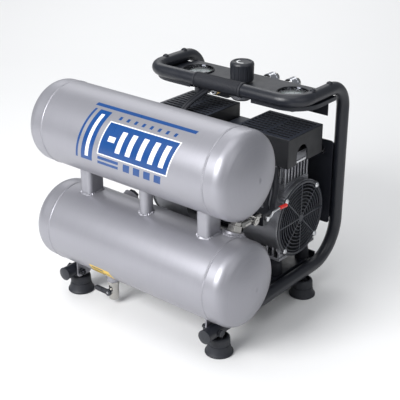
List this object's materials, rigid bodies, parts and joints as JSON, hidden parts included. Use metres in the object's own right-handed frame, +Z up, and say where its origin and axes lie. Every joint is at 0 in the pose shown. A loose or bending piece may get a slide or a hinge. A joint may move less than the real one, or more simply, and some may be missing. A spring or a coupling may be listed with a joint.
{
  "type": "air compressor",
  "caption": "Twin-stack oil-free air compressor: stacked tanks before a two-cylinder pump set in a bent tube frame with a console of gauges, regulator and quick couplers.",
  "frame": {"origin": "on the floor, under the middle of the whole machine", "axes": "+X to the operator's right along the tanks, +Y from the tanks towards the pump and its guard, +Z up"},
  "size_m": [0.5, 0.462, 0.448],
  "materials": {
    "tank_silver": "satin powder coat",
    "frame_black": "satin powder coat",
    "console_black": "fine textured powder coat",
    "black_plastic": "moulded, fine texture",
    "black_rubber": "matt",
    "cast_aluminium": "as cast, blasted",
    "machined_aluminium": "machined",
    "zinc_steel": "bright zinc plated",
    "black_steel": "black zinc",
    "chrome_plate": "polished",
    "nickel_brass": "nickel plated brass, satin",
    "yellow_brass": "turned brass",
    "steel": "ground steel",
    "laminated_steel": "varnished laminations",
    "dial_white": "printed dial",
    "needle_black": "painted",
    "clear_lens": "clear",
    "red_vinyl": "dipped vinyl"
  },
  "bodies": {
    "compressor_frame": {"upper_tank_barrel": "tank_silver", "lower_tank_barrel": "tank_silver", "tank_heads": "tank_silver", "tank_posts": "tank_silver", "tank_link_pipe": "tank_silver", "tank_lugs": "tank_silver", "tank_bosses": "tank_silver", "side_tubes": "frame_black", "handle_tube": "frame_black", "handle_grip": "black_rubber", "tube_plugs": "black_plastic", "base_tray": "frame_black", "rear_guard": "console_black", "dome_bolts": "black_steel", "hex_bolts": "black_steel", "rubber_feet": "black_rubber", "motor_shell": "black_plastic", "stator": "laminated_steel", "bearings": "steel", "crankcases": "cast_aluminium", "cylinders": "cast_aluminium", "valve_plates": "machined_aluminium", "cylinder_heads": "cast_aluminium", "fan_grilles": "black_plastic", "grille_screws": "zinc_steel", "rubber_mounts": "black_rubber", "shrouds": "black_plastic", "crossover_tube": "machined_aluminium", "middle_cover": "black_plastic", "console_plate": "console_black", "gauge_cases": "chrome_plate", "gauge_dials": "dial_white", "gauge_lenses": "clear_lens", "regulator_body": "cast_aluminium", "manifold": "machined_aluminium", "pressure_switch": "black_plastic", "safety_valve": "yellow_brass", "coupler_bodies": "nickel_brass", "check_valve": "nickel_brass", "isolating_valve_body": "black_plastic", "discharge_hoses": "black_rubber", "control_leads": "black_rubber", "drain_valve_body": "nickel_brass"},
    "rotor_set": {"rotor": "laminated_steel", "crankshaft": "steel", "fans": "black_plastic"},
    "left_piston": {"left_piston": "machined_aluminium"},
    "right_piston": {"right_piston": "machined_aluminium"},
    "drain_lever": {"drain_lever": "black_plastic", "drain_ball": "steel"},
    "isolating_lever": {"isolating_lever": "zinc_steel", "lever_sleeve": "red_vinyl"},
    "regulator_knob": {"regulator_knob": "black_plastic"},
    "regulator_spindle": {"regulator_spindle": "steel"},
    "left_gauge_needle": {"left_gauge_needle": "needle_black"},
    "right_gauge_needle": {"right_gauge_needle": "needle_black"},
    "left_coupler_sleeve": {"left_coupler_sleeve": "chrome_plate"},
    "right_coupler_sleeve": {"right_coupler_sleeve": "chrome_plate"},
    "rocker_switch": {"rocker_switch": "red_vinyl"},
    "safety_valve_ring": {"safety_valve_ring": "zinc_steel"}
  },
  "joints": [
    {"name": "motor_spin", "type": "hinge", "parent": "compressor_frame", "child": "rotor_set", "pos_m": [0, 0.113, 0.163], "axis": [1, 0, 0], "continuous": true},
    {"name": "left_piston_stroke", "type": "slide", "parent": "compressor_frame", "child": "left_piston", "axis": [0, 0, 1], "range_m": [0, 0.012]},
    {"name": "right_piston_stroke", "type": "slide", "parent": "compressor_frame", "child": "right_piston", "axis": [0, 0, 1], "range_m": [-0.012, 0]},
    {"name": "drain_lever_turn", "type": "hinge", "parent": "compressor_frame", "child": "drain_lever", "pos_m": [-0.088, -0.1622, 0.031], "axis": [0, 1, 0], "range_deg": [0, 90]},
    {"name": "isolating_lever_turn", "type": "hinge", "parent": "compressor_frame", "child": "isolating_lever", "pos_m": [0.1864, -0.034, 0.223], "axis": [1, 0, 0], "range_deg": [0, 90]},
    {"name": "regulator_knob_turn", "type": "hinge", "parent": "compressor_frame", "child": "regulator_knob", "pos_m": [0, 0.129, 0.41], "axis": [0, 0, -1], "range_deg": [0, 1080]},
    {"name": "regulator_spindle_feed", "type": "slide", "parent": "compressor_frame", "child": "regulator_spindle", "axis": [0, 0, -1], "range_m": [0, 0.0046]},
    {"name": "left_gauge_sweep", "type": "hinge", "parent": "compressor_frame", "child": "left_gauge_needle", "pos_m": [-0.117, 0.137, 0.398], "axis": [0, 0, -1], "range_deg": [0, 270], "stiffness_Nm_per_rad": 0.0005},
    {"name": "right_gauge_sweep", "type": "hinge", "parent": "compressor_frame", "child": "right_gauge_needle", "pos_m": [0.117, 0.137, 0.398], "axis": [0, 0, -1], "range_deg": [0, 270], "stiffness_Nm_per_rad": 0.0005},
    {"name": "left_coupler_release", "type": "slide", "parent": "compressor_frame", "child": "left_coupler_sleeve", "axis": [0, -1, 0], "range_m": [0, 0.0035], "stiffness_N_per_m": 800},
    {"name": "right_coupler_release", "type": "slide", "parent": "compressor_frame", "child": "right_coupler_sleeve", "axis": [0, -1, 0], "range_m": [0, 0.0035], "stiffness_N_per_m": 800},
    {"name": "power_rocker", "type": "hinge", "parent": "compressor_frame", "child": "rocker_switch", "pos_m": [-0.056, 0.1851, 0.379], "axis": [1, 0, 0], "range_deg": [0, 20]},
    {"name": "safety_ring_pull", "type": "slide", "parent": "compressor_frame", "child": "safety_valve_ring", "axis": [0, -1, 0], "range_m": [0, 0.004], "stiffness_N_per_m": 1500}
  ],
  "couplings": [
    {"joint": "regulator_spindle_feed", "follows": "regulator_knob_turn", "m_per_rad": 0.00023873}
  ]
}
